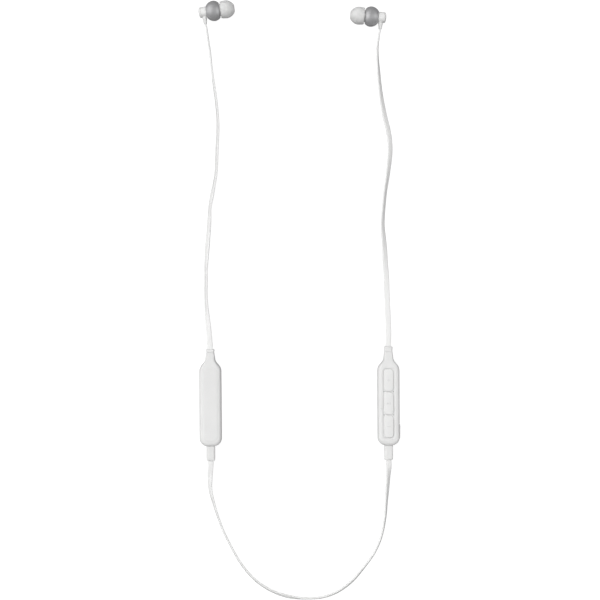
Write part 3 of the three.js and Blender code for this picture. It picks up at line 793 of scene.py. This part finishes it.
def arc(cx, cy, radius, start, end, steps=24):
    turns = (math.radians(mix(start, end, k / steps)) for k in range(steps + 1))
    return [Vector((cx + radius * math.cos(t), cy + radius * math.sin(t))) for t in turns]


def curve(p0, p1, p2, p3, steps=30):
    """The inner points of a cubic Bezier curve."""
    out = []
    for k in range(1, steps):
        t = k / steps
        u = 1 - t
        out.append(Vector(p0) * u ** 3 + Vector(p1) * 3 * u * u * t
                   + Vector(p2) * 3 * u * t * t + Vector(p3) * t ** 3)
    return out


def resampled(loop, count):
    """A closed loop at even distance, starting at its first point."""
    ends = loop[1:] + loop[:1]
    lengths = [(b - a).length for a, b in zip(loop, ends)]
    total = sum(lengths)
    out = []
    place = 0
    passed = 0.0
    for i in range(count):
        target = total * i / count
        while passed + lengths[place] < target:
            passed += lengths[place]
            place += 1
        share = (target - passed) / lengths[place] if lengths[place] else 0
        out.append(loop[place].lerp(ends[place], share))
    return out


def pod_outline(count=240):
    """The pods' plan: round corners below, shoulders that flow into a long neck above."""
    w, h = POD_HALF_WIDTH, POD_HALF_LENGTH
    rb = POD_BOTTOM_RADIUS
    right = arc(w - rb, -h + rb, rb, 270, 360) + [Vector((w, SHOULDER_Y))]
    right += curve((w, SHOULDER_Y), (w, 25.3), (3.45, 25.85), NECK_ROOT)
    right.append(Vector(NECK_ROOT))
    right += arc(NECK_HALF_WIDTH - 0.3, NECK_END - 0.3, 0.3, 0, 90, 6)
    left = [Vector((-p.x, p.y)) for p in reversed(right)]
    return resampled([Vector((0, -h))] + right + left, count)


def on_spine(point, low=-SPINE, high=SPINE):
    return Vector((0, min(max(point.y, low), high)))


def on_long_spine(point):
    """The spine's own point for an outline point: it runs on up the middle of the neck."""
    beyond = max(point.y - SPINE, 0)
    return Vector((0, on_spine(point).y + 0.94 * beyond))


def rectangle_distance(point, half_x, low_y, high_y, radius):
    """Signed distance from a rounded rectangle, negative inside."""
    centre = (low_y + high_y) / 2
    qx = abs(point.x) - half_x + radius
    qy = abs(point.y - centre) - (high_y - low_y) / 2 + radius
    outside = math.hypot(max(qx, 0), max(qy, 0))
    return outside + min(max(qx, qy), 0) - radius


def cast(start, through, rectangle):
    """Where the ray from start through a point leaves a rounded rectangle."""
    direction = (through - start).normalized()
    near, far = 0.0, 60.0
    for _ in range(40):
        half = (near + far) / 2
        if rectangle_distance(start + direction * half, *rectangle) < 0:
            near = half
        else:
            far = half
    return start + direction * near


def squeeze(y, z):
    """Thins the pod towards the neck, and a little towards its lower end."""
    share = 1 - 0.50 * ease((y - 24.5) / 9.0) - 0.10 * ease((-y - 22.5) / 4.0)
    return POD_SPLIT + (z - POD_SPLIT) * share


def pod_ring(outline, share, z, top=NECK_END):
    """The outline drawn in towards the pod's spine by a share, at one height."""
    ring = []
    for point in outline:
        base = on_long_spine(point)
        inner = base + (point - base) * (1 - share)
        y = min(inner.y, top)
        ring.append((inner.x, y, squeeze(y, z)))
    return ring


def shell_side(outline, outer_z, edge, sign):
    """Rings of a half shell's outside, from the parting plane round its edge to its face."""
    edge_x, edge_z = edge
    seam = POD_SPLIT + sign * POD_SEAM
    rings = [
        pod_ring(outline, 0.022, seam),
        pod_ring(outline, 0.004, seam + sign * 0.13),
        pod_ring(outline, 0.0, seam + sign * 0.3),
    ]
    for k in range(11):
        turn = math.pi / 2 * k / 10
        share = (0.1 + edge_x * (1 - math.cos(turn))) / POD_HALF_WIDTH
        height = outer_z - sign * edge_z * (1 - math.sin(turn))
        rings.append(pod_ring(outline, share, height))
    return rings


def shell_inside(outline, ceiling, sign):
    """Rings of the inside wall, from the ceiling down to the parting plane."""
    seam = POD_SPLIT + sign * POD_SEAM
    return [
        pod_ring(outline, WALL_SHARE + 0.04, ceiling, CAVITY_TOP - 0.3),
        pod_ring(outline, WALL_SHARE, ceiling - sign * 0.3, CAVITY_TOP),
        pod_ring(outline, WALL_SHARE, seam + sign * 0.1, CAVITY_TOP),
        pod_ring(outline, WALL_SHARE - 0.012, seam, CAVITY_TOP + 0.1),
    ]


def closed_half(outline, outside, ceiling, sign):
    """A half shell with an unbroken face: its outside rings, and a cavity behind them."""
    inside = [
        pod_ring(outline, NEARLY_CLOSED, ceiling, CAVITY_TOP - 2.0),
        pod_ring(outline, WALL_SHARE + 0.3, ceiling, CAVITY_TOP - 1.0),
        *shell_inside(outline, ceiling, sign),
    ]
    return loft(outside[::-1] + inside[::-1])


def back_half(outline):
    """The rear half of either pod: a flat back that closes over the spine."""
    outside = shell_side(outline, BACK_Z, BACK_EDGE, -1)
    start = (0.1 + BACK_EDGE[0]) / POD_HALF_WIDTH
    for k in range(1, 7):
        outside.append(pod_ring(outline, mix(start, NEARLY_CLOSED, k / 6), BACK_Z))
    return closed_half(outline, outside, BACK_Z + POD_WALL, -1)


# Keys: a run of three in one window, in a sunken panel. Rounded rectangles such as
# the window are given as (half width, low end, high end, corner radius).
KEY_PITCH = 14.7
KEY_MIDDLE_Y = 0.4
KEY_HALF_WIDTH = 3.08
KEY_HALF_LENGTH = 7.2
KEY_RADIUS = 2.3
APRON_HALF_WIDTH = 3.2
APRON_HALF_LENGTH = 7.32
APRON_RADIUS = 0.6
APRON_TOP = 8.12
KEY_TOP = 8.9
KEY_SLOPE = 0.75
FLANGE_LOW = 6.5
FLANGE_TOP = 7.0
PANEL_Z = 8.16
WINDOW = (3.28, KEY_MIDDLE_Y - 22.1, KEY_MIDDLE_Y + 22.1, 1.9)
# The three keys' aprons together fill the window, but for this fine gap all round.
KEY_GAP = 0.08
KEY_RUN = (APRON_HALF_WIDTH, WINDOW[1] + KEY_GAP, WINDOW[2] - KEY_GAP, WINDOW[3] - KEY_GAP)
PANEL = (4.1, KEY_MIDDLE_Y - 23.0, KEY_MIDDLE_Y + 23.0, 3.2)
BATTERY_PANEL = (4.4, -23.4, 23.9, 3.4)
SOFT_EDGE = 0.04


def ray_ring(outline, rectangle, z, grow=0.0):
    """A rounded rectangle drawn with one point on the ray of each outline point."""
    half_x, low, high, radius = rectangle
    grown = (half_x + grow, low - grow, high + grow, radius + grow)
    points = [cast(on_spine(p), p, grown) for p in outline]
    return [(p.x, p.y, squeeze(p.y, z)) for p in points]


def face_to_panel(outline, panel, face_z, rise, grow):
    """The outside of a cover, from the parting plane to a ring just round its panel."""
    outside = shell_side(outline, face_z, FACE_EDGE, 1)
    edge = outside[-1]
    rim = ray_ring(outline, panel, face_z + rise, grow)
    for part in (0.3, 0.65):
        blend = [Vector(a).lerp(Vector(b), part) for a, b in zip(edge, rim)]
        outside.append([(p.x, p.y, squeeze(p.y, face_z + rise * part)) for p in blend])
    return [*outside, rim]


def remote_cover(outline):
    """The remote's cover: its face runs into the sunken panel, whose middle is the window."""
    face_z = POD_THICKNESS - 0.1
    ceiling = POD_THICKNESS - POD_WALL
    rings = face_to_panel(outline, PANEL, face_z, 0.06, 0.55)
    rings += [ray_ring(outline, shape, z, grow) for shape, z, grow in (
        (PANEL, face_z + 0.08, 0.16), (PANEL, face_z + 0.03, 0.02),
        (PANEL, PANEL_Z + 0.04, -0.08), (PANEL, PANEL_Z, -0.2),
        (WINDOW, PANEL_Z, 0.2), (WINDOW, PANEL_Z - 0.04, 0.06),
        (WINDOW, PANEL_Z - 0.14, 0.0), (WINDOW, ceiling, 0.0),
    )]
    return loft(rings + shell_inside(outline, ceiling, 1), ring=True)


def battery_cover(outline):
    """The battery pod's cover: a low raised panel stands on its face."""
    top = POD_THICKNESS
    face_z = top - 0.14
    rings = face_to_panel(outline, BATTERY_PANEL, face_z, 0.02, 0.5)
    for z, grow in ((face_z + 0.01, 0.1), (top - 0.06, -0.02), (top - 0.02, -0.16), (top, -0.7)):
        rings.append(ray_ring(outline, BATTERY_PANEL, z, grow))
    border = rings[-1]
    spine = [on_spine(p) for p in outline]
    for part in (0.4, 0.75, 0.98):
        rings.append([(mix(b[0], m.x, part), mix(b[1], m.y, part), squeeze(b[1], top))
                      for b, m in zip(border, spine)])
    return closed_half(outline, rings, top - POD_WALL, 1)


def end_holes():
    """Openings in the two ends for the strain reliefs."""
    shapes = []
    for start, end in ((22.5, 36.0), (-31.0, -24.0)):
        section = superellipse(2.0, 1.35, 4.5, 40)
        shapes.append(loft([[(a, y, POD_SPLIT + b) for a, b in section] for y in (start, end)]))
    return joined(*shapes)


def pod_relief_shape(stations, way):
    """A soft boot: (distance from the pod's middle, half width, half height, squareness)."""
    rings = []
    for y, half_x, half_z, power in stations:
        section = superellipse(half_x, half_z, power, 52)
        rings.append([(a * way, y * way, POD_SPLIT + b) for a, b in section])
    return loft(rings)


def relief_stations(shoulder, tail, waist, collar, thick):
    """Anchor, stem, a waist where the boot leaves the pod, a collar and the cable's mouth."""
    mouth_a, mouth_b = CABLE_HALF_WIDTH + 0.05, CABLE_HALF_THICKNESS + 0.05
    run = tail - shoulder
    return [
        (23.3, 3.7, 1.45, 6), (23.4, 3.9, 1.6, 6), (24.5, 3.9, 1.6, 6), (24.6, 3.7, 1.45, 6),
        (24.65, 1.85, 1.2, 5), (shoulder - 0.1, 1.85, 1.2, 5),
        (shoulder - 0.05, waist, thick, 4), (shoulder + 0.1 * run, waist, thick + 0.02, 4),
        (shoulder + 0.3 * run, waist, thick, 4),
        (shoulder + 0.55 * run, mix(waist, collar, 0.6), thick, 4),
        (tail - min(1.5, 0.3 * run), collar, thick, 4),
        (tail - 0.4, collar - 0.04, thick - 0.04, 4),
        (tail - 0.15, collar - 0.22, thick - 0.25, 4),
        (tail - 0.02, collar - 0.45, thick - 0.6, 4),
        (tail, mouth_a + 0.2, mouth_b + 0.2, 4), (tail - 0.08, mouth_a + 0.06, mouth_b + 0.05, 4),
        (tail - 0.2, mouth_a, mouth_b, 4), (tail - 1.8, mouth_a - 0.05, mouth_b - 0.05, 4),
    ]


def make_pod_shells(prefix, place, cover, cover_cuts=(), back_cuts=()):
    outline = pod_outline()
    for name, node, shape, cuts in (("front", "cover", cover(outline), cover_cuts),
                                    ("rear", "back_shell", back_half(outline), back_cuts)):
        piece = make_piece(f"{prefix}_{name}_shell", shape, "shell", "frame",
                           place, [f"{prefix}_{node}"])
        for cut in (end_holes(), *cuts):
            boolean_cut(piece, placed(cut, place))
        smooth(piece.data)


def make_pod_reliefs(prefix, place, upper_tail):
    upper = relief_stations(NECK_END + 0.06, upper_tail, 2.55, 2.73, 1.8)
    lower = relief_stations(POD_HALF_LENGTH + 0.1, LOWER_RELIEF_END, 2.72, 2.7, 1.8)
    for name, stations, way in (("upper", upper, 1), ("lower", lower, -1)):
        make_piece(f"{prefix}_{name}_boot", pod_relief_shape(stations, way), "relief",
                   "frame", place, [f"{prefix}_{name}_relief"])


battery_place = pod_place("battery", "battery_pod_back")
remote_place = pod_place("remote", "remote_pod_back")
make_pod_shells("battery", battery_place, battery_cover)
make_pod_reliefs("battery", battery_place, BATTERY_RELIEF_END)
make_pod_reliefs("remote", remote_place, REMOTE_RELIEF_END)

# ---------------- remote pod

PORT_Y = -17.6
DOOR_INNER_X = 6.75
DOOR_OUTER_X = 7.36
DOOR_Z = 4.2
DOOR_LOW_Y = -22.15
DOOR_HIGH_Y = -13.12
NOTCH_Y = -12.84
RIB_Y = -14.35
RIB_STEP = 0.55
CUT_END_X = 9.0
LED_X, LED_Y = -4.9, -3.2
MIC_Y, MIC_Z = -7.5, 5.3


def prism_x(half_y, half_z, x0, x1, y, z, power=6, count=40):
    """A rounded bar along X."""
    section = superellipse(half_y, half_z, power, count)
    return loft([[(x, y + a, z + b) for a, b in section] for x in (x0, x1)])


def tube_hole(radius, start, end, count=24):
    """A round cutter between two points."""
    start, end = Vector(start), Vector(end)
    axis = (end - start).normalized()
    side = axis.orthogonal().normalized()
    other = axis.cross(side)
    return loft([[base + side * radius * c + other * radius * s for c, s in circle(count)]
                 for base in (start, end)])


door_seat = prism_x(4.84, 2.2, DOOR_INNER_X - 0.2, CUT_END_X, PORT_Y + 0.04, DOOR_Z, 8, 64)
nail_notch = prism_x(0.26, 4.6, DOOR_INNER_X - 0.2, CUT_END_X, NOTCH_Y, 4.0)
port_opening = prism_x(3.9, 1.5, 5.0, CUT_END_X, PORT_Y, DOOR_Z, 6, 48)
led_hole = tube_hole(0.5, (LED_X, LED_Y, 6.0), (LED_X, LED_Y, 10.0))
mic_hole = tube_hole(0.4, (-8.5, MIC_Y, MIC_Z), (-5.5, MIC_Y, MIC_Z))
door_cuts = (door_seat, nail_notch, port_opening)
make_pod_shells("remote", remote_place, remote_cover, (*door_cuts, led_hole, mic_hole), door_cuts)


def ellipse(half_a, half_b, middle_b, count):
    """Points all round a piece, for its rays to pass through."""
    return [Vector((half_a * c, middle_b + half_b * s)) for c, s in circle(count, 0.5)]


def drawn_in(around, spine, rectangle, share, within=None):
    """A rounded rectangle, clipped by a second one, and drawn in towards its spine by a share."""
    out = []
    for point in around:
        base = on_spine(point, *spine)
        reach = cast(base, point, rectangle) - base
        if within:
            reach = min(reach, cast(base, point, within) - base, key=lambda way: way.length)
        out.append(base + reach * (1 - share))
    return out


def key_shape(y):
    """A pillow-topped key with a wide flange that keeps it in the window."""
    reach = KEY_HALF_LENGTH - KEY_HALF_WIDTH
    cap = (KEY_HALF_WIDTH, y - KEY_HALF_LENGTH, y + KEY_HALF_LENGTH, KEY_RADIUS)
    flange = (3.75, y - 7.12, y + 7.12, 0.4)
    apron = (APRON_HALF_WIDTH, y - APRON_HALF_LENGTH, y + APRON_HALF_LENGTH, APRON_RADIUS)
    inset = KEY_SLOPE / KEY_HALF_WIDTH
    around = ellipse(5, 9, y, 112)

    def ring(rectangle, z, share=0.0, within=None):
        points = drawn_in(around, (y - reach, y + reach), rectangle, share, within)
        return [(p.x, p.y, z) for p in points]

    rings = [
        ring(flange, FLANGE_LOW, 0.9), ring(flange, FLANGE_LOW, 0.03),
        ring(flange, FLANGE_LOW + 0.05), ring(flange, FLANGE_TOP - 0.05),
        ring(flange, FLANGE_TOP, 0.03), ring(apron, FLANGE_TOP + 0.02, 0, KEY_RUN),
        ring(apron, APRON_TOP - 0.04, 0, KEY_RUN), ring(apron, APRON_TOP, 0.012, KEY_RUN),
        ring(cap, APRON_TOP + 0.01),
    ]
    shoulder = KEY_TOP - 0.15
    for k in range(1, 8):
        turn = math.pi / 2 * k / 7
        height = mix(APRON_TOP + 0.01, shoulder, math.sin(turn))
        rings.append(ring(cap, height, inset * (1 - math.cos(turn))))
    for k in range(1, 5):
        rings.append(ring(cap, mix(shoulder, KEY_TOP, 1 - (1 - k / 4) ** 2),
                          mix(inset, 0.97, k / 4)))
    return loft(rings)


def raised(outline, top, low, high):
    """A thin raised stroke: straight sides and softened upper edges."""
    return loft([[(x, y, z) for x, y in corners] for corners, z in (
        (outline, low), (outline, high - SOFT_EDGE), (top, high))])


def bar(x0, x1, y0, y1, low, high):
    corners = ((x0, y0, 1, 1), (x1, y0, -1, 1), (x1, y1, -1, -1), (x0, y1, 1, -1))
    top = [(x + SOFT_EDGE * in_x, y + SOFT_EDGE * in_y) for x, y, in_x, in_y in corners]
    return raised([corner[:2] for corner in corners], top, low, high)


def wedge(x0, x1, y, half, low, high):
    """A triangle that points along X."""
    at_base, at_point = 0.06, 0.096
    outline = [(x0, y - half), (x1, y), (x0, y + half)]
    top = [(x0 + at_base, y - half + at_point), (x1 - at_point, y),
           (x0 + at_base, y + half - at_point)]
    return raised(outline, top, low, high)


def symbol_shape(kind, y):
    low, high = KEY_TOP - 0.12, KEY_TOP + 0.02
    stroke, arm = 0.14, 1.0
    level = bar(-arm, arm, y - stroke, y + stroke, low, high)
    if kind == "minus":
        return level
    if kind == "plus":
        return joined(level, bar(-stroke, stroke, y + stroke, y + arm, low, high),
                      bar(-stroke, stroke, y - arm, y - stroke, low, high))
    return joined(wedge(-1.15, 0.1, y, 0.72, low, high),
                  bar(0.4, 0.66, y - 0.7, y + 0.7, low, high),
                  bar(0.92, 1.18, y - 0.7, y + 0.7, low, high))


def make_keys():
    rows = (("volume_up", 1, "plus"), ("play", 0, "play"), ("volume_down", -1, "minus"))
    for name, row, kind in rows:
        y = KEY_MIDDLE_Y + row * KEY_PITCH
        body = f"{name}_button"
        make_piece(f"{name}_keycap", key_shape(y), "key", body,
                   remote_place, [f"{name}_key"])
        # Each key's embossed symbol, in the grey look that paints the shade of its strokes.
        make_piece(f"{name}_symbol", symbol_shape(kind, y), "symbol", body,
                   remote_place)


make_keys()


def door_shape():
    """The port's flap: a bowed face, a chamfered back and a plug that fills the socket."""
    face = (2.08, DOOR_LOW_Y, DOOR_HIGH_Y, 1.3)
    plug = (0.62, PORT_Y - 2.9, PORT_Y + 2.8, 0.3)
    around = ellipse(4, 7, (DOOR_LOW_Y + DOOR_HIGH_Y) / 2, 88)

    def ring(rectangle, x, share=0.0):
        points = drawn_in(around, (PORT_Y - 2.4, PORT_Y + 2.3), rectangle, share)
        return [(x, p.y, DOOR_Z + p.x) for p in points]

    rings = [
        ring(plug, 5.6, 0.7), ring(plug, 5.6, 0.15), ring(plug, 5.7), ring(plug, 6.7),
        ring(face, DOOR_INNER_X, 0.04), ring(face, DOOR_INNER_X + 0.08),
        ring(face, DOOR_OUTER_X - 0.42),
    ]
    for k in range(1, 7):
        turn = math.pi / 2 * k / 6
        x = DOOR_OUTER_X - 0.42 + 0.32 * math.sin(turn)
        rings.append(ring(face, x, 0.16 * (1 - math.cos(turn))))
    for k in range(1, 4):
        x = DOOR_OUTER_X - 0.1 + 0.1 * (1 - (1 - k / 3) ** 2)
        rings.append(ring(face, x, mix(0.16, 0.95, k / 3)))
    return loft(rings)


def door_grip():
    """Three small ribs near the door's free end."""
    shapes = []
    for n in range(3):
        y = RIB_Y - n * RIB_STEP
        rings = []
        for k in range(9):
            z = DOOR_Z + mix(-1.1, 1.1, k / 8)
            height = 0.11 * math.sin(math.pi * (0.12 + 0.76 * k / 8))
            rings.append([
                (DOOR_OUTER_X - 0.2 + (0.2 + height) * max(c, -0.2), y + 0.14 * s, z)
                for c, s in circle(12)
            ])
        shapes.append(loft(rings))
    return joined(*shapes)


make_piece("port_flap", door_shape(), "door", "charging_door", remote_place,
           ["port_door"])
make_piece("port_flap_ribs", door_grip(), "door", "charging_door",
           remote_place)


def led_lens():
    profile = [(5.2, 0, 0), (5.2, 0.4, 0.05), (8.33, 0.4, 0.12), (8.42, 0, 0)]
    points, faces = turned(profile, sides=24)
    return [(LED_X + y, LED_Y + z, x) for x, y, z in points], faces


make_piece("led_lens", led_lens(), "clear", "frame", remote_place,
           ["light_guide"])

# ---------------- floor, light

FLOOR_REACH = 6.0
FLOOR_DROP = 0.00002
FLOOR_GLOW = 0.90
ROOM_LIGHT = 0.25
# Each panel: the way it lies, how bright it is, and the cosines where it fades in.
PANELS_OF_LIGHT = (
    ((-0.86, 0.10, 0.50), 1.00, 0.72, 0.95),
    ((0.86, -0.02, 0.50), 0.85, 0.82, 0.97),
)
# Each lamp: the way it lies and how bright it is. Softness is its spread in degrees.
LAMPS = (
    ("left_lamp", (-0.45, 0.45, 0.77), 1.10),
    ("overhead_lamp", (-0.08, -0.10, 1.0), 1.30),
)
LAMP_SOFTNESS = 70


def make_floor():
    """A wide pale table top that reads as white paper and throws no light back up."""
    mesh = bpy.data.meshes.new("floor")
    corners = [(-1, -1), (1, -1), (1, 1), (-1, 1)]
    points = [(x * FLOOR_REACH, y * FLOOR_REACH, 0) for x, y in corners]
    mesh.from_pydata(points, [], [(0, 1, 2, 3)])
    floor = new_object("floor", mesh)
    floor.location.z = -FLOOR_DROP
    floor.visible_glossy = False
    floor.visible_diffuse = False
    material, tree, shader = node_material("white_paper")
    fill(tree, shader, {
        "Base Color": two_tone(tree, noise(tree, 40), (0.20, 0.20, 0.20), (0.22, 0.22, 0.22)),
        "Roughness": 0.9,
        "Specular IOR Level": 0.0,
        "Emission Color": (1, 1, 1, 1),
        "Emission Strength": FLOOR_GLOW,
    })
    mesh.materials.append(material)


def make_world():
    """A dim room with a bright panel on either side, which the glossy surfaces mirror."""
    world = bpy.data.worlds.new("studio")
    bpy.context.scene.world = world
    world.use_nodes = True
    tree = world.node_tree
    point = add(tree, "ShaderNodeTexCoord").outputs["Generated"]
    total = ROOM_LIGHT
    for direction, power, start, end in PANELS_OF_LIGHT:
        facing = {0: point, 1: Vector(direction).normalized()}
        dot = add(tree, "ShaderNodeVectorMath", facing, operation="DOT_PRODUCT")
        fade = {"Value": dot.outputs["Value"], "From Min": start, "From Max": end, "To Max": power}
        glow = add(tree, "ShaderNodeMapRange", fade, interpolation_type="SMOOTHSTEP")
        both = {0: total, 1: glow.outputs["Result"]}
        total = add(tree, "ShaderNodeMath", both, operation="ADD").outputs["Value"]
    fill(tree, tree.nodes["Background"], {"Strength": total, "Color": (1, 1, 1, 1)})


def make_lamps():
    """Broad soft lamps, most of the light from the upper left; they leave no glints."""
    for name, direction, power in LAMPS:
        data = bpy.data.lights.new(name, "SUN")
        data.energy = power
        data.angle = math.radians(LAMP_SOFTNESS)
        lamp = new_object(name, data)
        lamp.rotation_euler = Vector(direction).to_track_quat("Z", "Y").to_euler()
        lamp.visible_glossy = False


make_floor()
make_world()
make_lamps()
bpy.context.scene.view_settings.view_transform = "Standard"
